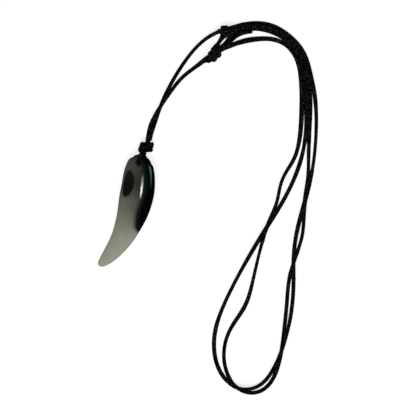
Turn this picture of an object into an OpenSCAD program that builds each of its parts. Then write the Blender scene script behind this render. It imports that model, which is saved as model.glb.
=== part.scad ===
// Glass tooth pendant on a black cord with two sliding knots, lying flat.
// Units are millimetres. The surface it lies on is z = 0, and the origin is
// under the middle of the tooth.

/* [Tooth] */
// Thickness of the tooth at its belly
tooth_thickness = 6.8; // [5.5:0.1:7.5]
// Squareness of the tooth's oval section, where 2 is an ellipse
tooth_squareness = 2.3; // [2:0.1:2.8]
// Diameter of the hole drilled through the tooth
hole_diameter = 2; // [1.8:0.1:2.2]

/* [Cord] */
// Diameter of the cord
cord_diameter = 1.3; // [1:0.05:1.3]

/* [Knots] */
// Wraps on each sliding knot
slide_wraps = 3; // [2:1:4]
// Length of each sliding knot along the strand it grips
slide_length = 4.2; // [3.8:0.1:4.4]
// Outer diameter of each sliding knot
slide_diameter = 4.9; // [4.6:0.1:5]
// Width of the knot above the tooth, across the cord
pendant_knot_width = 6.2; // [5.6:0.1:6.6]
// Diameter of the knot above the tooth
pendant_knot_diameter = 4.2; // [3.8:0.1:4.2]

/* [Hidden] */

// Resolution: points round a tooth section, rings between two rows of its
// table, sides of a cord, segments of a turned shape, and how much of a row
// apart the places are that the tooth's direction is taken from
SECTION_POINTS = 28;
RINGS_PER_ROW = 2;
CORD_SIDES = 8;
TURNED = 64;
SLOPE_STEP = 0.2;

// Clearance of the cord in a sliding knot, and the gap between a knot and a
// strand that ends on it
slide_clearance = 0.1;
seat_gap = 0.05;
// Straight stretch of a strand before it ends on a sliding knot
seat_approach = 1.5;

cord_radius = cord_diameter / 2;

// Tooth sections from the top to the tip, each square to the tooth's bent
// centre line: centre x, centre y, half width, share of the full thickness,
// height of the underside above the surface
TOOTH = [
    [6.45, 22.4, 0.5, 0.06, 3.3],
    [6.35, 22.0, 1.4, 0.25, 2.65],
    [6.25, 21.5, 2.2, 0.36, 2.25],
    [6.1, 20.9, 3.0, 0.46, 1.9],
    [5.9, 19.9, 4.05, 0.57, 1.55],
    [5.6, 18.6, 5.0, 0.67, 1.2],
    [5.4, 16.9, 5.65, 0.77, 0.8],
    [5.25, 15.0, 6.1, 0.85, 0.5],
    [5.1, 12.8, 6.4, 0.92, 0.25],
    [4.75, 8.8, 6.7, 1.00, 0.0],
    [3.9, 4.3, 6.7, 1.00, 0.0],
    [2.7, -0.6, 6.2, 0.95, 0.0],
    [1.1, -5.1, 5.45, 0.86, 0.0],
    [-1.0, -9.8, 4.65, 0.75, 0.0],
    [-3.6, -14.1, 3.85, 0.63, 0.0],
    [-6.3, -17.6, 3.1, 0.51, 0.0],
    [-8.6, -20.1, 2.3, 0.39, 0.0],
    [-10.35, -21.6, 1.4, 0.25, 0.0],
    [-11.1, -22.2, 0.3, 0.08, 0.2],
];
HOLE = [4.9, 18.6];
// How far the drill reaches past the tooth at each end
DRILL_OVERRUN = 1;

// Strand that passes through the tooth: from the knot over the tooth's top
// edge, down through the hole and back to the knot underneath
LOOP_ROUTE = [
    [6.6, 23.1, 3.6], [6.38, 22.76, 4.9], [5.75, 21.3, 6.05], [5.25, 19.6, 6.4], [5.0, 18.75, 6.1],
    [4.9, 18.6, 5.4], [4.9, 18.6, 1.6], [5.05, 18.85, 0.85], [5.45, 19.5, 0.65],
    [6.6, 21.4, 0.65], [7.4, 22.9, 1.0],
];

// Middle of the knot above the tooth, the direction of its long side and the
// number of its wraps
KNOT_MIDDLE = [7.8, 25.2];
KNOT_TURN = 10;
KNOT_WRAPS = 4;

// Cord A from the knot above the tooth, through the upper sliding knot and
// round the neck loop
ROUTE_A = [
    [9.2, 28.0, 2.9], [10.5, 32.0, 0.8], [13.9, 42.1, 0.65], [18.8, 52.2, 0.65],
    [26.85, 63.8, 0.8], [32.4, 68.75, 1.6], [37.2, 71.2, 2.45], [42.0, 72.8, 2.45],
    [46.5, 74.1, 1], [52.0, 74.7, 0.65], [58.0, 73.8, 0.65], [64.2, 70.5, 0.65],
    [70.6, 63.5, 0.65], [73.7, 54.3, 0.65], [75.65, 42.0, 0.65], [75.5, 26.0, 0.65],
    [73.5, 12.0, 0.65], [69.0, -5.0, 0.65], [67.2, -14.0, 1.5], [66.7, -21.0, 2.05],
    [66.75, -28.0, 1.6], [65.7, -42.0, 0.65], [62.0, -56.2, 0.65], [57.9, -65.0, 0.65],
    [52.7, -70.3, 1.2], [45.85, -71.4, 2.05], [40.8, -68.8, 1.5], [36.7, -63.0, 0.65],
    [35.0, -53.0, 0.65], [37.9, -40.45, 0.65], [52.4, -12.8, 1.45], [56.6, -6.0, 2.05],
    [61.4, 1.6, 1.7], [67.3, 13.15, 0.65], [71.3, 27.5, 0.65], [71.8, 42.0, 0.65],
    [71.1, 53.6, 0.65], [68.5, 62.2, 0.65], [62.1, 69.0, 0.65], [56.1, 71.7, 0.65],
    [50.3, 72.4, 0.65], [46.1, 71.5, 0.65], [42.2, 69.7, 0.8], [39.95, 66.9, 1.4],
];
// Cord B from the knot above the tooth, through the lower sliding knot and
// round the neck loop
ROUTE_B = [
    [8.4, 27.4, 1.3], [9.1, 32.2, 0.7], [10.9, 36.6, 1.75], [14.1, 42.0, 2.05],
    [18.3, 48.05, 1.8], [22.6, 53.2, 0.8], [29.0, 58.15, 1.2], [33.2, 61.2, 2.5],
    [37.6, 63.6, 2.5], [44.15, 66.65, 0.8], [53.8, 68.45, 0.65], [61.75, 67.15, 0.65],
    [67.45, 61.2, 0.65], [69.55, 53.4, 0.65], [70.05, 42.0, 0.65], [69.05, 27.6, 0.65],
    [66.85, 20.2, 0.65], [64.25, 15.85, 0.65], [61.75, 10.5, 0.65], [60.15, 3.4, 0.65],
    [56.5, -5.95, 0.65], [50.4, -28.8, 0.65], [47.2, -38.65, 0.65], [41.25, -48.25, 0.65],
    [38.95, -58.7, 0.65], [41.6, -67.9, 0.65], [46.9, -72.5, 0.65], [53.2, -72.5, 0.65],
    [58.0, -68.3, 1.1], [61.4, -58.8, 2.05], [63.0, -48.0, 1.75], [64.2, -36.0, 0.65],
    [65.2, -27.0, 0.65], [68.2, -17.1, 0.65], [70.4, -9.0, 1.5], [71.1, 2.0, 2.05],
    [72.4, 12.0, 1.9], [72.85, 24.0, 0.8], [73.5, 42.0, 0.65], [72.4, 53.9, 1.2],
    [69.5, 62.9, 1.3], [63.5, 69.6, 1.35], [57.2, 72.8, 1.6], [50.0, 73.5, 1.8],
];
// Places in each route where the strand enters and leaves a sliding knot
KNOT_ON_A = 6;
KNOT_ON_B = 7;

// Where a strand sits on a sliding knot's end, as distances to the left of
// the gripped strand and above it
END_OF_B_SEAT = [-1.4, -0.3];
END_OF_A_SEAT = [1.3, -0.6];
TAIL_SEAT = [0.7, 1.27];

// Cut tail of the lower sliding knot after its seat
TAIL_ROUTE = [[40.3, 66.0, 2.9], [42.9, 68.5, 1.7], [45.65, 70.2, 1.8], [48.05, 70.9, 1.8],
              [50.4, 71.2, 1.6]];
// Cut tail of the upper sliding knot, from under its wraps to its free end
UPPER_TAIL = [[38.9, 70.2, 1.5], [35.9, 66.4, 0.9]];

function unit(v) = v / norm(v);
function middle(a, b) = (a + b) / 2;
function left_of(v) = unit([-v[1], v[0], 0]);

// Direction of a route at one of its points
function heading(route, i) =
    let (last = len(route) - 1)
    unit(i == 0 ? route[1] - route[0]
       : i == last ? route[last] - route[last - 1]
       : unit(route[i] - route[i - 1]) + unit(route[i + 1] - route[i]));

// Points of the ring round one point of a route; side_axis is a direction
// that the route never takes
function ring(route, i, side_axis) =
    let (along = heading(route, i),
         across = unit(cross(along, side_axis)),
         up = cross(across, along))
    [for (k = [0:CORD_SIDES - 1])
        let (a = 360 * k / CORD_SIDES)
        route[i] + cord_radius * (cos(a) * across + sin(a) * up)];

// Faces of a closed skin over rings of equal length
function skin_faces(rings, sides) = concat(
    [[for (k = [0:sides - 1]) k]],
    [for (i = [0:rings - 2], k = [0:sides - 1])
        let (a = i * sides + k, b = i * sides + (k + 1) % sides)
        each [[a, b + sides, b], [a, a + sides, b + sides]]],
    [[for (k = [sides - 1:-1:0]) (rings - 1) * sides + k]]);

module tube(route, side_axis = [0, 0, 1]) {
    points = [for (i = [0:len(route) - 1]) each ring(route, i, side_axis)];
    polyhedron(points, skin_faces(len(route), CORD_SIDES));
}

// Value of a smooth curve through b and c, a share t of the way from b to c
function between(a, b, c, d, t) =
    0.5 * (2 * b + (c - a) * t + (2 * a - 5 * b + 4 * c - d) * t * t
        + (3 * b - a - 3 * c + d) * t * t * t);

function tooth_row(at) =
    let (last = len(TOOTH) - 1,
         i = min(floor(at), last - 1),
         t = at - i)
    between(TOOTH[max(i - 1, 0)], TOOTH[i], TOOTH[i + 1], TOOTH[min(i + 2, last)], t);

function signed_power(v, p) = sign(v) * pow(abs(v), p);

// Points of the tooth's section at a place counted in rows of its table
function tooth_section(at) =
    let (row = tooth_row(at),
         step = tooth_row(min(at + SLOPE_STEP / 2, len(TOOTH) - 1))
             - tooth_row(max(at - SLOPE_STEP / 2, 0)),
         across = left_of([step[0], step[1], 0]),
         half_thickness = row[3] * tooth_thickness / 2,
         p = 2 / tooth_squareness)
    [for (k = [0:SECTION_POINTS - 1])
        let (a = 360 * k / SECTION_POINTS)
        [row[0], row[1], max(row[4], 0) + half_thickness]
            + row[2] * signed_power(cos(a), p) * across
            + [0, 0, half_thickness * signed_power(sin(a), p)]];

module tooth_body() {
    rings = (len(TOOTH) - 1) * RINGS_PER_ROW + 1;
    points = [for (i = [0:rings - 1]) each tooth_section(i / RINGS_PER_ROW)];
    polyhedron(points, skin_faces(rings, SECTION_POINTS));
}

module tooth()
    color("dimgray")
    difference() {
        tooth_body();
        translate([HOLE[0], HOLE[1], -DRILL_OVERRUN])
            cylinder(d = hole_diameter, h = tooth_thickness + 2 * DRILL_OVERRUN, $fn = TURNED);
    }

module hole_loop()
    color("black")
    tube(LOOP_ROUTE, left_of([LOOP_ROUTE[0][0] - HOLE[0], LOOP_ROUTE[0][1] - HOLE[1], 0]));

// Row of wraps turned about the z axis, with a bore when bore is over 0
module wraps(count, length, diameter, bore = 0) {
    wrap_radius = length / count / 2;
    wrap_middle = diameter / 2 - wrap_radius;
    rotate_extrude($fn = TURNED)
        union() {
            translate([bore / 2, -length / 2])
                square([wrap_middle - bore / 2, length]);
            for (i = [0:count - 1])
                translate([wrap_middle, (i + 0.5) * length / count - length / 2])
                    intersection() {
                        circle(r = wrap_radius, $fn = TURNED);
                        translate([0, -wrap_radius])
                            square([wrap_radius, 2 * wrap_radius]);
                    }
        }
}

module pendant_knot()
    color("black")
    translate([KNOT_MIDDLE[0], KNOT_MIDDLE[1], pendant_knot_diameter / 2])
    rotate([0, 90, KNOT_TURN])
    wraps(KNOT_WRAPS, pendant_knot_width, pendant_knot_diameter);

// Sets children about the middle of the stretch from a to b, z along it
module along_stretch(a, b) {
    way = b - a;
    translate(middle(a, b))
        rotate([0, acos(way[2] / norm(way)), atan2(way[1], way[0])])
            children();
}

module slide_knot(route, i)
    along_stretch(route[i], route[i + 1])
    wraps(slide_wraps, slide_length, slide_diameter, cord_diameter + 2 * slide_clearance);

// Point off the far end of the knot that grips route after its point i, as
// far from that end as gap says
function off_knot(route, i, seat, gap) =
    let (along = unit(route[i + 1] - route[i]))
    middle(route[i], route[i + 1]) + (slide_length / 2 + gap) * along
        + seat[0] * left_of(along) + [0, 0, seat[1]];

// Straight stretch of a strand that ends square on a knot, from gaps[0] to
// gaps[1] off the knot
function square_end(route, i, seat, gaps) =
    [for (gap = gaps) off_knot(route, i, seat, gap)];

cord_a_route = concat(ROUTE_A,
    square_end(ROUTE_B, KNOT_ON_B, END_OF_A_SEAT, [seat_approach, seat_gap]));
cord_b_route = concat(ROUTE_B,
    square_end(ROUTE_A, KNOT_ON_A, END_OF_B_SEAT, [seat_approach, seat_gap]));
tail_route = concat(
    square_end(ROUTE_B, KNOT_ON_B, TAIL_SEAT, [seat_gap, seat_approach]), TAIL_ROUTE);

module cord_a()
    color("black")
    tube(cord_a_route);

module cord_b()
    color("black")
    tube(cord_b_route);

module upper_slide_knot()
    color("black")
    union() {
        slide_knot(ROUTE_A, KNOT_ON_A);
        along_stretch(UPPER_TAIL[0], UPPER_TAIL[1])
            cylinder(r = cord_radius, h = norm(UPPER_TAIL[1] - UPPER_TAIL[0]), center = true, $fn = TURNED);
    }

module lower_slide_knot()
    color("black")
    slide_knot(ROUTE_B, KNOT_ON_B);

module lower_tail()
    color("black")
    tube(tail_route);

tooth();
hole_loop();
pendant_knot();
cord_a();
cord_b();
upper_slide_knot();
lower_slide_knot();
lower_tail();
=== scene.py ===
"""Looks of a glass tooth pendant on a doubled black cord, lying on a pale floor."""
import math

import bpy
import mathutils
import numpy as np
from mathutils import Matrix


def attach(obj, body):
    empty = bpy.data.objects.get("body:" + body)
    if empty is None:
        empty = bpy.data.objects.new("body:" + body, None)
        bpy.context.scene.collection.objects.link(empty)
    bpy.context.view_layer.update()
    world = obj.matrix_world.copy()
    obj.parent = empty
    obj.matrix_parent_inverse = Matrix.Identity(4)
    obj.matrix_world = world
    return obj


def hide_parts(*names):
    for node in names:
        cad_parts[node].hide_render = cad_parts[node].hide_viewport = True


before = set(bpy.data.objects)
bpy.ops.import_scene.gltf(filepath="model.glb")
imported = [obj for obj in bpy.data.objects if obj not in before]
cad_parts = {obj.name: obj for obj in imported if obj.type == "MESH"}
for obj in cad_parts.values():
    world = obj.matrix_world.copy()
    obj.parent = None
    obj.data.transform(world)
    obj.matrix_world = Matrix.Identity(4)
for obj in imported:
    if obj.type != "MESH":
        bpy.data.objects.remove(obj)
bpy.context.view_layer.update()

MM = 0.001

# What the photograph's frame takes in, at the surface
PHOTO_SPAN = 166.4 * MM
PHOTO_CENTRE = (32.6 * MM, 0.8 * MM)
SENSOR_WIDTH = 36.0
LENS = 150.0

# Cord: an eight-carrier braid, four carriers each way round. Where it is wider
# than twice CORD_RADIUS it is pressed flat, but no thinner than twice THINNEST.
# A carrier's ridge swings about RIDGE_LEVEL as it goes over and under the
# others. Cut ends are rounded, apart from a small flat in their middle
CORD_RADIUS = 0.65 * MM
THINNEST = 0.5 * MM
CORD_SIDES = 20
CORD_STEP = 0.16 * MM
CARRIERS = 4
CARRIER_STEP = 0.95 * MM
BRAID_RELIEF = 0.13
RIDGE_LEVEL = 0.55
RIDGE_SWING = 0.45
END_ROUNDING = 0.45 * MM
MOST_ROUNDED = 0.95
# Pale colour of the painted highlights: glints on the braid's ridges
PAINTED_GLINT_COLOUR = (0.14, 0.14, 0.125, 1)

# Half widths of the braid where it is wound, in the hole and in the lower tail
WRAP_WIDTH = 0.82 * MM
WIDE_WRAP = 1.05 * MM
HOLE_STRAND = 0.97 * MM
LEG_STRAND = 0.83 * MM
LEG_ENDS = 0.95 * MM
TAIL_STRAND = 0.8 * MM

# Smooth curves: how many points each span of a spline gets. A span is as long as
# the distance between its two route points, to the power of KNOT_POWER
SPAN_SAMPLES = 24
KNOT_POWER = 0.75

# Routes of the two halves of the cord, in millimetres
ROUTE_A = [
    [9.2, 28.0, 2.9], [10.5, 32.0, 0.8], [13.9, 42.1, 0.65], [18.8, 52.2, 0.65],
    [26.85, 63.8, 0.8], [32.4, 68.75, 1.6], [37.2, 71.2, 2.45], [42.0, 72.8, 2.45],
    [46.5, 74.1, 1], [52.0, 74.7, 0.65], [58.0, 73.8, 0.65], [64.2, 70.5, 0.65],
    [70.6, 63.5, 0.65], [73.7, 54.3, 0.65], [75.65, 42.0, 0.65], [75.5, 26.0, 0.65],
    [73.5, 12.0, 0.65], [69.0, -5.0, 0.65], [67.2, -14.0, 1.5], [66.7, -21.0, 2.05],
    [66.75, -28.0, 1.6], [65.7, -42.0, 0.65], [62.0, -56.2, 0.65], [57.9, -65.0, 0.65],
    [52.7, -70.3, 1.2], [45.85, -71.4, 2.05], [40.8, -68.8, 1.5], [36.7, -63.0, 0.65],
    [35.0, -53.0, 0.65], [37.9, -40.45, 0.65], [52.4, -12.8, 1.45], [56.6, -6.0, 2.05],
    [61.4, 1.6, 1.7], [67.3, 13.15, 0.65], [71.3, 27.5, 0.65], [71.8, 42.0, 0.65],
    [71.1, 53.6, 0.65], [68.5, 62.2, 0.65], [62.1, 69.0, 0.65], [56.1, 71.7, 0.65],
    [50.3, 72.4, 0.65], [46.1, 71.5, 0.65], [42.2, 69.7, 0.8], [39.95, 66.9, 1.4],
]
ROUTE_B = [
    [8.4, 27.4, 1.3], [9.1, 32.2, 0.7], [10.9, 36.6, 1.75], [14.1, 42.0, 2.05],
    [18.3, 48.05, 1.8], [22.6, 53.2, 0.8], [29.0, 58.15, 1.2], [33.2, 61.2, 2.5],
    [37.6, 63.6, 2.5], [44.15, 66.65, 0.8], [53.8, 68.45, 0.65], [61.75, 67.15, 0.65],
    [67.45, 61.2, 0.65], [69.55, 53.4, 0.65], [70.05, 42.0, 0.65], [69.05, 27.6, 0.65],
    [66.85, 20.2, 0.65], [64.25, 15.85, 0.65], [61.75, 10.5, 0.65], [60.15, 3.4, 0.65],
    [56.5, -5.95, 0.65], [50.4, -28.8, 0.65], [47.2, -38.65, 0.65], [41.25, -48.25, 0.65],
    [38.95, -58.7, 0.65], [41.6, -67.9, 0.65], [46.9, -72.5, 0.65], [53.2, -72.5, 0.65],
    [58.0, -68.3, 1.1], [61.4, -58.8, 2.05], [63.0, -48.0, 1.75], [64.2, -36.0, 0.65],
    [65.2, -27.0, 0.65], [68.2, -17.1, 0.65], [70.4, -9.0, 1.5], [71.1, 2.0, 2.05],
    [72.4, 12.0, 1.9], [72.85, 24.0, 0.8], [73.5, 42.0, 0.65], [72.4, 53.9, 1.2],
    [69.5, 62.9, 1.3], [63.5, 69.6, 1.35], [57.2, 72.8, 1.6], [50.0, 73.5, 1.8],
]

# How wide the braid looks from above as its flat side turns, in millimetres:
# length along it and width
WIDTHS_A = [
    (0, 2.23), (6, 1.65), (30, 1.6), (40, 1.5), (48, 1.55), (54, 1.7), (80, 1.75), (104, 1.8), (111, 1.9),
    (118, 1.6), (130, 1.43), (140, 1.45), (146, 1.83), (152, 1.98), (162, 1.93), (169, 1.75), (200, 1.7),
    (206, 1.55), (216, 1.7), (226, 1.65), (236, 1.58), (244, 1.8), (268, 1.85), (276, 1.6), (292, 1.55),
    (298, 1.75), (314, 1.9), (330, 1.7), (342, 1.9), (350, 1.5), (356, 1.4), (360, 1.9), (365, 2.1),
    (372, 2.0), (380, 1.75), (414, 1.75), (417, 2.08), (420, 2.08), (423, 1.53), (425, 1.48),
]
WIDTHS_B = [
    (0, 1.65), (32, 1.6), (36, 1.68), (40, 2.08), (44, 2.13), (48, 1.98), (56, 2.1), (61, 2.38), (68, 2.03),
    (90, 1.75), (98, 1.9), (103, 2.08), (109, 2.05), (114, 1.98), (119, 1.73), (128, 1.63), (132, 1.48),
    (143, 1.48), (153, 1.78), (164, 1.35), (176, 1.5), (182, 1.75), (188, 1.9), (200, 1.6), (210, 1.6),
    (240, 1.75), (288, 1.65), (294, 1.5), (304, 1.55), (312, 1.98), (317, 1.93), (326, 1.43), (333, 1.7),
    (341, 1.38), (347, 1.38), (353, 2.33), (358, 2.33), (364, 1.7), (404, 1.7),
]
# A cord whose middle line is nearer than twice WIDEST_TO_TOUCH to a neighbour's
# is as wide as that gap times PRESSED, so that the two press into each other.
# Two strands are neighbours where their heights differ by less than BESIDE, and
# a strand is its own neighbour only farther than SAME_STRAND along it. Half
# widths are never under NARROWEST, and they are averaged over EASED_OVER
NARROWEST = 0.55 * MM
WIDEST_TO_TOUCH = 0.9 * MM
PRESSED = 1.12
BESIDE = 1.0 * MM
SAME_STRAND = 6.0 * MM
EASED_OVER = 4.0 * MM

# Strand through the tooth, and the lower tail after it leaves its knot
LOOP_ROUTE = [
    [6.6, 23.1, 3.6], [6.38, 22.76, 4.9], [5.75, 21.3, 6.05], [5.25, 19.6, 6.4], [5.0, 18.75, 6.1],
    [4.9, 18.6, 5.4], [4.9, 18.6, 1.6], [5.05, 18.85, 0.85], [5.45, 19.5, 0.65],
    [6.6, 21.4, 0.65], [7.4, 22.9, 1.0],
]
TAIL_ROUTE = [
    [40.3, 66.0, 2.9], [42.9, 68.5, 1.7], [45.65, 70.2, 1.8], [48.05, 70.9, 1.8], [50.4, 71.2, 1.6],
]

# Sliding knots: the stretch of a route that each one grips, and in millimetres
# its length, the gap off its far end and where the strands there sit, to the
# left of that stretch and above it
KNOT_ON_A = 6
KNOT_ON_B = 7
SLIDE_LENGTH = 4.2
SEAT_GAP = 0.05
SEAT_APPROACH = 1.5
END_OF_B_SEAT = (-1.4, -0.3)
END_OF_A_SEAT = (1.3, -0.6)
TAIL_SEAT = (0.7, 1.27)

# Strands of the sliding knots from inside, about the middle of the stretch that
# they grip: along it, to its left and up. Then their half turns over and under
# it: along it and to its left where each starts, and how high or low it goes.
# The upper knot's tail has its widths after it, as the cords have
UPPER_INSIDE = [(0.9, -1.35, -0.1), (-0.9, -1.3, 0.1), (-2.25, -0.75, -0.3)]
UPPER_TURNS = [(-2.6, 0.55, 1.25), (-1.15, -2.9, -1.75), (-0.9, 1.4, 1.8), (0.25, -2.8, -1.75),
               (0.2, 1.1, 1.75), (1.4, -1.9, 0.0)]
UPPER_TAIL = [[40.2, 71.3, 1.9], [39.15, 70.2, 1.8], [38.2, 68.75, 1.5], [37.4, 67.6, 1.2],
              [36.6, 66.4, 0.95], [35.5, 65.4, 0.8], [34.8, 65.0, 0.75]]
UPPER_TAIL_WIDTHS = [(0, 3.4), (1.5, 3.0), (3.0, 2.3), (4.6, 1.7)]
LOWER_INSIDE = [(2.35, 1.5, -0.3)]
LOWER_TURNS = [(2.3, 1.5, 1.8), (0.7, -1.9, -1.8), (0.5, 2.35, 1.8), (-1.45, -2.45, -1.7), (-1.2, 1.4, 1.5),
               (-3.1, -1.8, -1.2), (-4.8, -1.0, 0.0)]
# Knot above the tooth: its middle, and its two strands as above, but up the cord,
# to its right and off the surface
KNOT_MIDDLE = (7.8, 25.2, 2.1)
FIRST_INSIDE = [(1.4, 0.9, 0.4), (1.0, -0.4, -0.5)]
FIRST_TURNS = [(1.15, -1.85, 1.4), (1.0, 2.8, -1.4), (-1.1, -2.65, 0.0)]
SECOND_INSIDE = [(1.0, 0.6, -0.5)]
SECOND_TURNS = [(0.2, 2.6, -1.4), (0.2, -2.2, 1.4), (-1.2, 2.4, -1.4), (-1.5, -0.9, 0.0)]
HALF_TURN_STEPS = 4

# Tooth sections from the top to the tip: centre x, centre y, half width,
# share of the full thickness, height of the underside above the surface
TOOTH = [
    [6.45, 22.4, 0.5, 0.06, 3.3],
    [6.35, 22.0, 1.4, 0.25, 2.65],
    [6.25, 21.5, 2.2, 0.36, 2.25],
    [6.1, 20.9, 3.0, 0.46, 1.9],
    [5.9, 19.9, 4.05, 0.57, 1.55],
    [5.6, 18.6, 5.0, 0.67, 1.2],
    [5.4, 16.9, 5.65, 0.77, 0.8],
    [5.25, 15.0, 6.1, 0.85, 0.5],
    [5.1, 12.8, 6.4, 0.92, 0.25],
    [4.75, 8.8, 6.7, 1.00, 0.0],
    [3.9, 4.3, 6.7, 1.00, 0.0],
    [2.7, -0.6, 6.2, 0.95, 0.0],
    [1.1, -5.1, 5.45, 0.86, 0.0],
    [-1.0, -9.8, 4.65, 0.75, 0.0],
    [-3.6, -14.1, 3.85, 0.63, 0.0],
    [-6.3, -17.6, 3.1, 0.51, 0.0],
    [-8.6, -20.1, 2.3, 0.39, 0.0],
    [-10.35, -21.6, 1.4, 0.25, 0.0],
    [-11.1, -22.2, 0.3, 0.08, 0.2],
]
TOOTH_THICKNESS = 6.8
TOOTH_SQUARENESS = 2.3
TOOTH_RINGS_PER_ROW = 8
TOOTH_POINTS = 96
TOOTH_EASE = 0.1
HOLE = (4.9, 18.6)
HOLE_RADIUS = 1.0
HOLE_SIDES = 48
DRILL_BELOW = 1.0
DRILL_ABOVE = 2.0

# Colours of the glass by share of the way from its tip to its top: its own olive grey, and painted light,
# paler towards the thin tip where light shines through
GLASS_SPAN = (-23.0, 22.0)
BODY_COLOURS = [(0.0, (0.57, 0.59, 0.46)), (0.2, (0.565, 0.585, 0.455)), (0.29, (0.5, 0.52, 0.4)),
                (0.37, (0.44, 0.455, 0.35)), (0.46, (0.375, 0.388, 0.3)), (0.53, (0.31, 0.32, 0.247)),
                (0.6, (0.265, 0.275, 0.215)), (0.67, (0.165, 0.172, 0.133)), (0.74, (0.1, 0.105, 0.081)),
                (0.81, (0.125, 0.13, 0.1)), (0.88, (0.165, 0.172, 0.135)), (0.94, (0.185, 0.192, 0.155)),
                (1.0, (0.14, 0.145, 0.12))]
# Colours laid over those: towards the black line, in clouds, along the line, past
# it, in the dark patch by share of the way up it, and round the hole
SHADE_COLOUR = (0.006, 0.007, 0.006, 1)
CLOUD_COLOUR = (0.02, 0.022, 0.016, 1)
LINE_COLOUR = (0.0105, 0.018, 0.019, 1)
BLACK_COLOUR = (0.0002, 0.0004, 0.0005, 1)
PATCH_COLOURS = [(0.0, (0.005, 0.006, 0.002)), (0.5, (0.006, 0.0075, 0.0035)),
                 (0.85, (0.014, 0.0165, 0.0105))]
RING_COLOUR = (0.0008, 0.0008, 0.0006, 1)
# Where the black begins: height up the tooth and place across it, in millimetres
BLACK_LINE = [(-11.0, 8.0), (-9.4, 5.8), (-8.2, 4.6), (-6.6, 3.9), (-3.4, 4.1), (-0.2, 4.8), (3.0, 6.0),
              (5.8, 6.8), (8.6, 7.2), (11.8, 7.4), (15.0, 7.3), (18.0, 6.6), (20.0, 5.6), (23.0, 5.0)]
# The material works in centimetres across, RAMP_UNIT millimetres each, since a
# ramp holds numbers from 0 to 1. In centimetres: how soft the line is, and how
# far to its left the glass is already darker
RAMP_UNIT = 10.0
BLACK_SOFTNESS = 0.2
SHADED = 0.75
# Height up to which the glass shines fully, and from which it is dull
SHINY_TO = 18.0
DULL_FROM = 18.8
# Dark ring just round the hole: how far out it ends and where it is fully dark
RING_END = 0.2
RING_DARK = 0.05
# Dark patch by the inner edge: an ellipse turned by PATCH_TURN degrees and
# flattened on its left side, with its edge between two shares of its size
PATCH_MIDDLE = (0.25, 10.6)
PATCH_HALF_SIZE = (3.1, 5.7)
PATCH_TURN = -10
PATCH_FLATTENED = 2.8
PATCH_DARK_TO = 0.85
PATCH_END = 1.1

# Floor: a square in metres, and how strongly it glows
FLOOR_HALF = 3.0
FLOOR_GLOW = 0.79

# Lamps in metres and watts: a soft one for all, and two that the glass reflects
# as a pale streak and as a teal band. Then how much of each side of those two
# stays at full strength
SOFT_LAMP = {"position": (-0.1, -1.3, 2.2), "target": (0.03, 0.0, 0.0), "size": (2.2, 1.2), "power": 44.0}
STREAK_LAMP = {"position": (0.17, 0.075, 1.2), "target": (0.006, 0.009, 0.006), "size": (0.15, 0.44),
               "power": 4.3, "colour": (1.0, 1.0, 0.9)}
TEAL_LAMP = {"position": (0.937, 0.353, 0.679), "target": (0.01, 0.014, 0.005), "size": (0.5, 0.8),
             "power": 4.3, "colour": (0.3, 0.95, 1.0), "up": (-0.53, 0.74, 0.42)}
STREAK_FULL = (0.7, 0.2)
TEAL_FULL = (0.2, 0.2)
# Dim light that comes from all round
SURROUNDINGS = (0.03, 0.03, 0.03, 1)


def make_camera():
    """Looks straight down on what the photograph takes in."""
    data = bpy.data.cameras.new("camera")
    data.sensor_width = SENSOR_WIDTH
    data.lens = LENS
    camera = bpy.data.objects.new("camera", data)
    camera.location = (*PHOTO_CENTRE, PHOTO_SPAN * LENS / SENSOR_WIDTH)
    bpy.context.scene.collection.objects.link(camera)
    bpy.context.scene.camera = camera


def unit(v):
    return np.asarray(v, float) / np.linalg.norm(v)


def left_of(v):
    return unit((-v[1], v[0], 0.0))


def natural_spline(points, spans, samples):
    """Points of the natural cubic spline through points, samples of them to each of its spans."""
    p = np.array(points, float)
    matrix, right = np.eye(len(p)), np.zeros_like(p)
    for i in range(1, len(p) - 1):
        before, after = spans[i - 1], spans[i]
        matrix[i, i - 1:i + 2] = before, 2 * (before + after), after
        right[i] = 6 * ((p[i + 1] - p[i]) / after - (p[i] - p[i - 1]) / before)
    bend = np.linalg.solve(matrix, right)
    pieces = []
    for i, span in enumerate(spans):
        u = np.linspace(0, span, samples, endpoint=False)[:, None]
        v = span - u
        pieces.append((bend[i] * v ** 3 + bend[i + 1] * u ** 3) / (6 * span)
                      + (p[i] / span - bend[i] * span / 6) * v
                      + (p[i + 1] / span - bend[i + 1] * span / 6) * u)
    return np.concatenate(pieces + [p[-1:]])


def spline(points):
    """Smooth curve through points, without loops where some lie closer than others."""
    spans = np.linalg.norm(np.diff(np.array(points, float), axis=0), axis=1) ** KNOT_POWER
    return natural_spline(points, spans, SPAN_SAMPLES)


def distances(path):
    """Length along a path up to each of its points."""
    return np.concatenate([[0.0], np.cumsum(np.linalg.norm(np.diff(path, axis=0), axis=1))])


def even_steps(path, step):
    """The same path with a point each step along it."""
    at = distances(path)
    count = max(2, round(at[-1] / step) + 1)
    places = np.linspace(0, at[-1], count)
    return np.stack([np.interp(places, at, path[:, axis]) for axis in range(3)], axis=1)


def cord_path(points):
    """Smooth path of a cord in metres through points in millimetres, never under the surface."""
    path = spline(np.array(points, float) * MM)
    path[:, 2] = np.maximum(path[:, 2], CORD_RADIUS)
    return even_steps(path, CORD_STEP)


def frames_along(path):
    """Side and up directions at each point of a path, turning about it as little as they can."""
    along = np.gradient(path, axis=0)
    along /= np.linalg.norm(along, axis=1)[:, None]
    side = np.zeros_like(path)
    start = (0, 0, 1) if abs(along[0][2]) < 0.9 else (0, 1, 0)
    side[0] = unit(np.cross(along[0], start))
    for i in range(1, len(path)):
        side[i] = unit(side[i - 1] - along[i] * (side[i - 1] @ along[i]))
    return side, np.cross(side, along)


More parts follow.
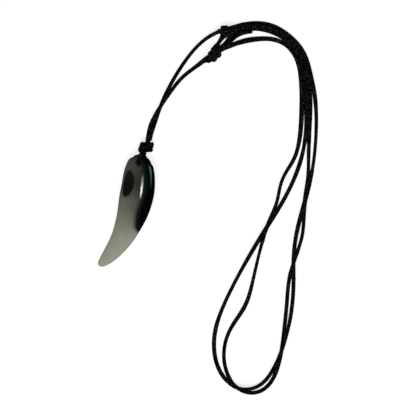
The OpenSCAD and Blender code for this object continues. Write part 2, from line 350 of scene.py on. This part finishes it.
def weave(around, at):
    """Height from 0 to 1 of a braid's surface, around in turns and at in metres along it."""
    x = CARRIERS * around + at / CARRIER_STEP
    y = CARRIERS * around - at / CARRIER_STEP
    sx, sy = np.sin(np.pi * x), np.sin(np.pi * y)
    over = RIDGE_LEVEL + RIDGE_SWING * (-1.0) ** np.floor(x) * sy
    under = RIDGE_LEVEL - RIDGE_SWING * (-1.0) ** np.floor(y) * sx
    return np.maximum(np.sqrt(np.abs(sx)) * over, np.sqrt(np.abs(sy)) * under)


def braid_thickness(half_width):
    """Half the height of the braid where it is that wide, with the same area where that can be."""
    return np.clip(CORD_RADIUS * CORD_RADIUS / half_width, THINNEST, CORD_RADIUS)


def lying_flat(path):
    """Level direction across a path at each of its points."""
    along = np.gradient(path, axis=0)
    across = np.stack([-along[:, 1], along[:, 0], np.zeros(len(path))], axis=1)
    return across / np.linalg.norm(across, axis=1)[:, None]


def tube(path, half_width=CORD_RADIUS, wide_way=None, round_end=False):
    """Points, faces and weave heights of a braided cord along a path: half_width wide along wide_way,
    or round where there is no wide_way."""
    at = distances(path)
    around = np.arange(CORD_SIDES) / CORD_SIDES
    heights = weave(around[None, :], at[:, None])
    thick = 1 - BRAID_RELIEF * (1 - heights)
    if round_end:
        inward = np.clip(1 - (at[-1] - at) / END_ROUNDING, 0, MOST_ROUNDED)
        thick *= np.sqrt(1 - inward ** 2)[:, None]
    side, up = frames_along(path)
    angle = 2 * np.pi * around
    offsets = ((thick * np.cos(angle))[:, :, None] * side[:, None, :]
               + (thick * np.sin(angle))[:, :, None] * up[:, None, :])
    wide = np.broadcast_to(half_width, len(path))[:, None, None]
    if wide_way is None:
        rings = path[:, None, :] + wide * offsets
    else:
        shares = np.sum(offsets * wide_way[:, None, :], axis=2)[:, :, None] * wide_way[:, None, :]
        rings = path[:, None, :] + shares * wide + (offsets - shares) * braid_thickness(wide)
    points = np.concatenate([rings.reshape(-1, 3), path[:1], path[-1:]])
    first = np.arange(len(path) - 1)[:, None] * CORD_SIDES
    k = np.arange(CORD_SIDES)[None, :]
    after = (k + 1) % CORD_SIDES
    quads = np.stack([first + k, first + after, first + CORD_SIDES + after, first + CORD_SIDES + k], axis=2)
    last_ring, middle = (len(path) - 1) * CORD_SIDES, len(path) * CORD_SIDES
    faces = quads.reshape(-1, 4).tolist()
    faces += [[middle, (i + 1) % CORD_SIDES, i] for i in range(CORD_SIDES)]
    faces += [[middle + 1, last_ring + i, last_ring + (i + 1) % CORD_SIDES] for i in range(CORD_SIDES)]
    return points, faces, np.concatenate([heights.ravel(), [0.5, 0.5]])


def mesh_object(name, points, faces, heights=None):
    """A smooth-shaded object, which keeps the height of its braid at each point where it has one."""
    mesh = bpy.data.meshes.new(name)
    mesh.from_pydata(np.asarray(points).tolist(), [], faces)
    if heights is not None:
        mesh.attributes.new("weave", "FLOAT", "POINT").data.foreach_set("value", heights.astype(np.float32))
    mesh.shade_smooth()
    mesh.validate()
    piece = bpy.data.objects.new(name, mesh)
    bpy.context.scene.collection.objects.link(piece)
    return piece


def cord_piece(name, tubes, material, *nodes):
    """One piece of several cord tubes, flat where they reach the surface, that stands for CAD nodes."""
    points, faces, heights, count = [], [], [], 0
    for tube_points, tube_faces, tube_heights in tubes:
        points.append(tube_points)
        faces += [[i + count for i in face] for face in tube_faces]
        heights.append(tube_heights)
        count += len(tube_points)
    points = np.concatenate(points)
    points[:, 2] = np.maximum(points[:, 2], 0.0)
    piece = mesh_object(name, points, faces, np.concatenate(heights))
    piece.data.materials.append(material)
    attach(piece, "root")
    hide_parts(*nodes)
    return piece


def stretch(route, i):
    """Middle, direction and left side of the stretch of a route after its point i, in millimetres."""
    a, b = np.array(route[i]), np.array(route[i + 1])
    along = unit(b - a)
    return (a + b) / 2, along, left_of(along)


def square_end(route, i, seat, gaps):
    """Points each gap off the far end of the knot on a route's stretch i, in millimetres."""
    middle, along, left = stretch(route, i)
    up = np.array((0, 0, seat[1]))
    return [(middle + (SLIDE_LENGTH / 2 + gap) * along + seat[0] * left + up).tolist() for gap in gaps]


def new_material(name):
    material = bpy.data.materials.new(name)
    material.use_nodes = True
    return material, material.node_tree, material.node_tree.nodes["Principled BSDF"]


def node(tree, kind, inputs=None, **settings):
    """A shader node with its settings, and its inputs set or linked by name or number."""
    made = tree.nodes.new(kind)
    for key, value in settings.items():
        setattr(made, key, value)
    for key, value in (inputs or {}).items():
        if isinstance(value, bpy.types.NodeSocket):
            tree.links.new(value, made.inputs[key])
        else:
            made.inputs[key].default_value = value
    return made


def ramp(tree, source, stops, interpolation="LINEAR"):
    """Colour ramp output from source, with stops of (place, grey or colour)."""
    made = node(tree, "ShaderNodeValToRGB", {"Fac": source})
    made.color_ramp.interpolation = interpolation
    elements = made.color_ramp.elements
    while len(elements) < len(stops):
        elements.new(0.5)
    for element, (place, colour) in zip(elements, sorted(stops)):
        element.position = place
        element.color = (colour, colour, colour, 1) if isinstance(colour, float) else (*colour, 1)
    return made.outputs["Color"]


def math_node(tree, operation, a, b=0.0):
    return node(tree, "ShaderNodeMath", {0: a, 1: b}, operation=operation).outputs[0]


def mix(tree, share, a, b):
    """Colour that goes from a to b as share goes from 0 to 1, by the node's sockets for colours."""
    return node(tree, "ShaderNodeMix", {"Factor": share, 6: a, 7: b}, data_type="RGBA").outputs[2]


def noise(tree, place, scale, detail, roughness=0.5):
    """Soft noise from 0 to 1 with so many features to a metre."""
    return node(tree, "ShaderNodeTexNoise", {"Vector": place, "Scale": scale, "Detail": detail,
                                             "Roughness": roughness}).outputs["Fac"]


def cord_material():
    """Black waxed braid, with painted shade darkening it between the carriers and painted highlights as pale
    glints on the ridges of some of them.
    """
    material, tree, shader = new_material("waxed_cord")
    place = node(tree, "ShaderNodeTexCoord").outputs["Object"]
    height = node(tree, "ShaderNodeAttribute", attribute_name="weave").outputs["Fac"]
    patches = noise(tree, place, 1400.0, 2.0)
    fibres = noise(tree, place, 6500.0, 3.0)
    # Painted shade: darker where the braid's surface lies low between the carriers
    black = ramp(tree, height, [(0.0, 0.0002), (0.55, 0.0006), (0.85, 0.0016), (1.0, 0.003)])
    # Painted highlights: pale glints on the carriers' ridges, in patches
    ridge = ramp(tree, height, [(0.65, 0.0), (0.92, 1.0)])
    glint_patches = ramp(tree, patches, [(0.47, 0.0), (0.72, 1.0)])
    glint = math_node(tree, "MULTIPLY", ridge, glint_patches)
    colour = mix(tree, glint, black, PAINTED_GLINT_COLOUR)
    tree.links.new(colour, shader.inputs["Base Color"])
    tree.links.new(ramp(tree, glint, [(0.0, 0.7), (1.0, 0.35)]), shader.inputs["Roughness"])
    bump = node(tree, "ShaderNodeBump", {"Height": fibres, "Strength": 0.3, "Distance": 0.03 * MM})
    tree.links.new(bump.outputs["Normal"], shader.inputs["Normal"])
    shader.inputs["Specular IOR Level"].default_value = 0.06
    return material


def half_turns(rows):
    """Points of a strand wound over and under a knot, through rows of place along it, place to its
    side and height of the half turn after them."""
    path = []
    for (x0, y0, high), (x1, y1, _) in zip(rows, rows[1:]):
        for step in range(HALF_TURN_STEPS):
            angle = math.pi * step / HALF_TURN_STEPS
            swing = (1 - math.cos(angle)) / 2
            x = x0 + (x1 - x0) * step / HALF_TURN_STEPS
            path.append((x, y0 + (y1 - y0) * swing, high * math.sin(angle)))
    return path + [(rows[-1][0], rows[-1][1], 0.0)]


def in_knot(points, middle, along, side):
    """Points in millimetres from their places along a knot, to its side and up."""
    return [np.array(middle) + x * along + y * side + z * np.array((0.0, 0.0, 1.0)) for x, y, z in points]


def wound_tube(path, middle, along, half_width, at_ends=CORD_RADIUS):
    """Braid pressed flat against the core of the knot that it is wound round, with its half width
    going from at_ends at both ends to half_width between them."""
    off = path - np.array(middle) * MM
    off -= (off @ along)[:, None] * along
    tangent = np.gradient(path, axis=0)
    flat = np.cross(tangent, off)
    flat /= np.maximum(np.linalg.norm(flat, axis=1), 1e-12)[:, None]
    from_end = np.minimum(distances(path), distances(path)[-1] - distances(path))
    share = np.clip(from_end / EASED_OVER, 0, 1)
    return tube(path, at_ends + (half_width - at_ends) * share, flat)


def room_beside(path, strands):
    """Half the gap from each point of a path to the nearest strand beside it, itself included."""
    room = np.full(len(path), np.inf)
    at = distances(path)
    for strand in strands:
        tree = mathutils.kdtree.KDTree(len(strand))
        for i, point in enumerate(strand):
            tree.insert(point, i)
        tree.balance()
        for i, point in enumerate(path):
            for other, j, gap in tree.find_range(point, 2 * WIDEST_TO_TOUCH + BESIDE):
                if strand is path and abs(at[i] - at[j]) < SAME_STRAND:
                    continue
                if abs(other[2] - point[2]) < BESIDE:
                    room[i] = min(room[i], gap / 2)
    return room


def table_widths(path, table):
    """Half widths along a path from a table of lengths along it and widths in millimetres."""
    rows = np.array(table) * MM
    return np.interp(distances(path), rows[:, 0], rows[:, 1]) / 2


def cord_widths(path, table, strands):
    """Half widths along a cord: as the table says where it lies free, and up to its neighbours elsewhere."""
    free = table_widths(path, table)
    room = room_beside(path, strands)
    wide = np.where(room < WIDEST_TO_TOUCH, room * PRESSED, free)
    wide = np.clip(wide, NARROWEST, np.maximum(WIDEST_TO_TOUCH, free))
    steps = 2 * round(EASED_OVER / CORD_STEP / 2) + 1
    eased = np.convolve(np.pad(wide, steps // 2, mode="edge"), np.hanning(steps + 2)[1:-1], mode="valid")
    return eased / np.hanning(steps + 2)[1:-1].sum()


def make_cords(material):
    """The two halves of the cord, each to the sliding knot that its end is tied in."""
    path_a = cord_path(ROUTE_A + square_end(ROUTE_B, KNOT_ON_B, END_OF_A_SEAT, (SEAT_APPROACH, SEAT_GAP)))
    path_b = cord_path(ROUTE_B + square_end(ROUTE_A, KNOT_ON_A, END_OF_B_SEAT, (SEAT_APPROACH, SEAT_GAP)))
    made = []
    for name, path, table in (("a", path_a, WIDTHS_A), ("b", path_b, WIDTHS_B)):
        wide = cord_widths(path, table, [path_a, path_b])
        path[:, 2] -= CORD_RADIUS - braid_thickness(wide)
        tubes = [tube(path, wide, lying_flat(path))]
        made.append((cord_piece(f"cord_{name}_braid", tubes, material, f"cord_{name}"), path))
    return made


def make_upper_knot(material):
    """Cord B's end, wound round cord A and back out as a short tail."""
    middle, along, left = stretch(ROUTE_A, KNOT_ON_A)
    start = (SLIDE_LENGTH / 2, *END_OF_B_SEAT)
    path = cord_path(in_knot([start] + UPPER_INSIDE + half_turns(UPPER_TURNS), middle, along, left))
    tail = cord_path(UPPER_TAIL)
    tubes = [wound_tube(path, middle, along, WRAP_WIDTH),
             tube(tail, table_widths(tail, UPPER_TAIL_WIDTHS), lying_flat(tail), round_end=True)]
    return cord_piece("upper_knot_wraps", tubes, material, "upper_slide_knot")


def make_lower_knot(material):
    """Cord A's end, wound round cord B."""
    middle, along, left = stretch(ROUTE_B, KNOT_ON_B)
    start = (SLIDE_LENGTH / 2, *END_OF_A_SEAT)
    path = cord_path(in_knot([start] + LOWER_INSIDE + half_turns(LOWER_TURNS), middle, along, left))
    tubes = [wound_tube(path, middle, along, WIDE_WRAP)]
    return cord_piece("lower_knot_wraps", tubes, material, "lower_slide_knot")


def make_lower_tail(material):
    """Cut end of cord A, past the lower sliding knot."""
    path = cord_path(square_end(ROUTE_B, KNOT_ON_B, TAIL_SEAT, (SEAT_GAP, SEAT_APPROACH)) + TAIL_ROUTE)
    tubes = [tube(path, TAIL_STRAND, lying_flat(path), round_end=True)]
    return cord_piece("lower_tail_braid", tubes, material, "lower_tail")


def make_hole_loop(material):
    """Strand through the tooth, swollen to fill the hole."""
    path = cord_path(LOOP_ROUTE)
    off_hole = np.hypot(path[:, 0] - HOLE[0] * MM, path[:, 1] - HOLE[1] * MM)
    share = np.clip(off_hole / (HOLE_RADIUS * MM), 0, 1) ** 2
    radius = HOLE_STRAND + (LEG_STRAND - HOLE_STRAND) * share
    return cord_piece("hole_loop_braid", [tube(path, radius)], material, "hole_loop")


def make_pendant_knot(material):
    """Overhand knot of both strands."""
    along, right = np.array((0.0, 1.0, 0.0)), np.array((1.0, 0.0, 0.0))
    tubes = []
    for start, inside, turns, end in ((ROUTE_A[0], FIRST_INSIDE, FIRST_TURNS, LOOP_ROUTE[0]),
                                      (ROUTE_B[0], SECOND_INSIDE, SECOND_TURNS, LOOP_ROUTE[-1])):
        wound = in_knot(inside + half_turns(turns), KNOT_MIDDLE, along, right)
        path = cord_path([start] + wound + [end])
        tubes.append(wound_tube(path, KNOT_MIDDLE, along, LEG_STRAND, LEG_ENDS))
    return cord_piece("pendant_knot_braid", tubes, material, "pendant_knot")


def tooth_mesh():
    """Points and faces of the tooth before it is drilled."""
    rows = natural_spline(TOOTH, np.ones(len(TOOTH) - 1), TOOTH_RINGS_PER_ROW)
    steps = np.gradient(rows, axis=0)
    points = []
    angles = 2 * np.pi * np.arange(TOOTH_POINTS) / TOOTH_POINTS
    power = 2 / TOOTH_SQUARENESS
    wide = np.sign(np.cos(angles)) * np.abs(np.cos(angles)) ** power
    high = np.sign(np.sin(angles)) * np.abs(np.sin(angles)) ** power
    rings = len(rows)
    for row, step in zip(rows, steps):
        half = row[3] * TOOTH_THICKNESS / 2
        # Follows the table's height, but eases to the surface without a crease
        under = (row[4] + math.hypot(row[4], TOOTH_EASE)) / 2
        centre = np.array((row[0], row[1], under + half))
        across = row[2] * wide[:, None] * left_of(step)
        points.append(centre + across + half * high[:, None] * np.array((0, 0, 1)))
    faces = []
    for ring in range(rings - 1):
        for k in range(TOOTH_POINTS):
            a, b = ring * TOOTH_POINTS + k, ring * TOOTH_POINTS + (k + 1) % TOOTH_POINTS
            faces.append([a, a + TOOTH_POINTS, b + TOOTH_POINTS, b])
    faces.append(list(range(TOOTH_POINTS)))
    faces.append([(rings - 1) * TOOTH_POINTS + k for k in reversed(range(TOOTH_POINTS))])
    return np.concatenate(points) * MM, faces


def hole_cutter():
    """A drill through the tooth, upright at the hole."""
    points, faces = [], []
    for height in (-DRILL_BELOW, TOOTH_THICKNESS + DRILL_ABOVE):
        for k in range(HOLE_SIDES):
            angle = 2 * math.pi * k / HOLE_SIDES
            points.append(((HOLE[0] + HOLE_RADIUS * math.cos(angle)) * MM,
                           (HOLE[1] + HOLE_RADIUS * math.sin(angle)) * MM, height * MM))
    for k in range(HOLE_SIDES):
        after = (k + 1) % HOLE_SIDES
        faces.append([k, after, HOLE_SIDES + after, HOLE_SIDES + k])
    faces.append(list(reversed(range(HOLE_SIDES))))
    faces.append([HOLE_SIDES + k for k in range(HOLE_SIDES)])
    return mesh_object("hole_cutter", points, faces)


def apply_modifiers(piece):
    """Bakes a piece's modifiers into its mesh."""
    depsgraph = bpy.context.evaluated_depsgraph_get()
    baked = bpy.data.meshes.new_from_object(piece.evaluated_get(depsgraph))
    piece.modifiers.clear()
    piece.data = baked


def height_map(tree, value, low, high, interpolation="LINEAR"):
    """Value taken from low to high as from 0 to 1, and held there outside."""
    return node(tree, "ShaderNodeMapRange", {"Value": value, "From Min": low, "From Max": high},
                interpolation_type=interpolation).outputs["Result"]


def x_and_y(tree, vector):
    """X and y of a vector."""
    split = node(tree, "ShaderNodeSeparateXYZ", {"Vector": vector})
    return split.outputs["X"], split.outputs["Y"]


def ring_share(tree, place):
    """How far the dark ring round the hole covers the glass."""
    off_hole = node(tree, "ShaderNodeVectorMath", {0: place, 1: (HOLE[0] * MM, HOLE[1] * MM, 0)},
                    operation="SUBTRACT").outputs["Vector"]
    level = node(tree, "ShaderNodeVectorMath", {0: off_hole, 1: (1, 1, 0)},
                 operation="MULTIPLY").outputs["Vector"]
    from_hole = node(tree, "ShaderNodeVectorMath", {0: level}, operation="LENGTH").outputs["Value"]
    return height_map(tree, from_hole, (HOLE_RADIUS + RING_END) * MM, (HOLE_RADIUS + RING_DARK) * MM)


def past_black_line(tree, x, y):
    """How far to the right of the black line a place is, in centimetres."""
    low, high = BLACK_LINE[0][0], BLACK_LINE[-1][0]
    stops = [((at - low) / (high - low), side / RAMP_UNIT) for at, side in BLACK_LINE]
    line = ramp(tree, height_map(tree, y, low * MM, high * MM), stops, "CARDINAL")
    return math_node(tree, "SUBTRACT", math_node(tree, "DIVIDE", x, RAMP_UNIT * MM), line)


def dark_patch(tree, place):
    """How far the dark patch covers the glass, and its colour."""
    spot = node(tree, "ShaderNodeMapping", {"Vector": place,
                                            "Location": (PATCH_MIDDLE[0] * MM, PATCH_MIDDLE[1] * MM, 0),
                                            "Rotation": (0, 0, math.radians(PATCH_TURN)),
                                            "Scale": (PATCH_HALF_SIZE[0] * MM, PATCH_HALF_SIZE[1] * MM, 1.0)},
                vector_type="TEXTURE").outputs["Vector"]
    across, up = x_and_y(tree, spot)
    bulge = math_node(tree, "MAXIMUM", across, math_node(tree, "MULTIPLY", across, -PATCH_FLATTENED))
    reach = math_node(tree, "SQRT", math_node(tree, "ADD", math_node(tree, "MULTIPLY", bulge, bulge),
                                              math_node(tree, "MULTIPLY", up, up)))
    share = height_map(tree, reach, PATCH_END, PATCH_DARK_TO, "SMOOTHSTEP")
    return share, ramp(tree, height_map(tree, up, -1.0, 1.0), PATCH_COLOURS)


def glass_colour(tree, place):
    """Pale at the tip, as painted light through the thin glass, olive grey above, and black down the outer
    curve.
    """
    x, y = x_and_y(tree, place)
    height = height_map(tree, y, GLASS_SPAN[0] * MM, GLASS_SPAN[1] * MM)
    past = past_black_line(tree, x, y)
    # Darker towards the black line, more so higher up
    shade = height_map(tree, past, -SHADED, 0.0)
    deep = ramp(tree, height, [(0.28, 0.0), (0.5, 0.5), (0.62, 0.65), (1.0, 0.65)])
    # Painted light: paler towards the thin tip, where light shines through
    body = ramp(tree, height, BODY_COLOURS)
    shaded = mix(tree, math_node(tree, "MULTIPLY", shade, deep), body, SHADE_COLOUR)
    cloud = noise(tree, place, 170.0, 3.0, 0.6)
    clouded = mix(tree, math_node(tree, "MULTIPLY", cloud, 0.12), shaded, CLOUD_COLOUR)
    patch, patch_colour = dark_patch(tree, place)
    patched = mix(tree, math_node(tree, "MULTIPLY", patch, 0.97), clouded, patch_colour)
    # First a dark teal along the line, then black past it
    share = height_map(tree, past, -BLACK_SOFTNESS, BLACK_SOFTNESS, "SMOOTHSTEP")
    toned = mix(tree, ramp(tree, share, [(0.0, 0.0), (0.55, 1.0)]), patched, LINE_COLOUR)
    black = mix(tree, ramp(tree, share, [(0.66, 0.0), (1.0, 1.0)]), toned, BLACK_COLOUR)
    return mix(tree, ring_share(tree, place), black, RING_COLOUR)


def glass_material():
    """Smoky glass that lets a little light through, and is dull at its top."""
    material, tree, shader = new_material("smoky_glass")
    place = node(tree, "ShaderNodeTexCoord").outputs["Object"]
    tree.links.new(glass_colour(tree, place), shader.inputs["Base Color"])
    smears = noise(tree, place, 300.0, 3.0)
    tree.links.new(ramp(tree, smears, [(0.3, 0.03), (0.8, 0.05)]), shader.inputs["Roughness"])
    polished = height_map(tree, x_and_y(tree, place)[1], DULL_FROM * MM, SHINY_TO * MM)
    tree.links.new(math_node(tree, "MULTIPLY", polished, 0.5), shader.inputs["Specular IOR Level"])
    shader.inputs["IOR"].default_value = 1.5
    shader.inputs["Transmission Weight"].default_value = 0.25
    return material


def make_tooth(material):
    """The glass tooth, drilled for its cord."""
    piece = mesh_object("tooth_glass", *tooth_mesh())
    cutter = hole_cutter()
    drill = piece.modifiers.new("hole", "BOOLEAN")
    drill.operation = "DIFFERENCE"
    drill.solver = "EXACT"
    drill.object = cutter
    apply_modifiers(piece)
    bpy.data.objects.remove(cutter)
    piece.data.materials.clear()
    piece.data.materials.append(material)
    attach(piece, "root")
    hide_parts("tooth")


def make_floor():
    """A pale surface that glows a little, so that it stays near white round the piece."""
    material, tree, shader = new_material("pale_floor")
    place = node(tree, "ShaderNodeTexCoord").outputs["Object"]
    grain = noise(tree, place, 40.0, 4.0)
    tree.links.new(ramp(tree, grain, [(0.3, 0.43), (0.7, 0.45)]), shader.inputs["Base Color"])
    shader.inputs["Roughness"].default_value = 0.9
    shader.inputs["Specular IOR Level"].default_value = 0.1
    shader.inputs["Emission Color"].default_value = (1.0, 1.0, 1.0, 1.0)
    shader.inputs["Emission Strength"].default_value = FLOOR_GLOW
    corners = [(FLOOR_HALF * x, FLOOR_HALF * y, 0) for x, y in ((-1, -1), (1, -1), (1, 1), (-1, 1))]
    floor = mesh_object("floor", corners, [[0, 1, 2, 3]])
    floor.data.materials.append(material)
    floor.visible_glossy = False


def area_light(name, position, target, size, power, colour=(1.0, 1.0, 1.0), up=(0.0, 1.0, 0.0)):
    """A lamp shining at target, with its second side as near to up as that allows."""
    data = bpy.data.lights.new(name, "AREA")
    data.shape = "RECTANGLE"
    data.size, data.size_y = size
    data.energy = power
    data.color = colour
    lamp = bpy.data.objects.new(name, data)
    lamp.location = position
    back = unit(np.subtract(position, target))
    up = unit(np.array(up) - back * (back @ up))
    turned = np.stack([np.cross(up, back), up, back], axis=1)
    lamp.rotation_euler = mathutils.Matrix(turned.tolist()).to_euler()
    bpy.context.scene.collection.objects.link(lamp)
    return lamp


def soften(lamp, full_shares):
    """Lets a lamp fade to its edges, past the share of each side that stays at full strength."""
    data = lamp.data
    data.use_nodes = True
    tree = data.node_tree
    place = node(tree, "ShaderNodeNewGeometry").outputs["Parametric"]
    shares = []
    for side, full in zip(x_and_y(tree, place), full_shares):
        from_middle = math_node(tree, "ABSOLUTE", math_node(tree, "SUBTRACT", side, 0.5))
        shares.append(height_map(tree, from_middle, 0.5, 0.5 * full, "SMOOTHSTEP"))
    tree.links.new(math_node(tree, "MULTIPLY", *shares), tree.nodes["Emission"].inputs["Strength"])


def make_lights():
    """Lamps, a dim light from all round, and white where the camera sees past the floor."""
    soft = area_light("soft_light", **SOFT_LAMP)
    soft.visible_glossy = False
    streak = area_light("streak_light", **STREAK_LAMP)
    soften(streak, STREAK_FULL)
    teal = area_light("teal_light", **TEAL_LAMP)
    soften(teal, TEAL_FULL)
    for glint in (streak, teal):
        glint.visible_diffuse = False
    world = bpy.data.worlds.new("studio")
    world.use_nodes = True
    tree = world.node_tree
    back = tree.nodes["Background"]
    seen = node(tree, "ShaderNodeLightPath").outputs["Is Camera Ray"]
    tree.links.new(mix(tree, seen, SURROUNDINGS, (1.0, 1.0, 1.0, 1)), back.inputs["Color"])
    bpy.context.scene.world = world
    bpy.context.scene.view_settings.view_transform = "Standard"


make_camera()
black_cord = cord_material()
cords = make_cords(black_cord)
cord_pieces = [make(black_cord) for make in (make_hole_loop, make_pendant_knot, make_upper_knot,
                                             make_lower_knot, make_lower_tail)]
make_tooth(glass_material())
make_floor()
make_lights()
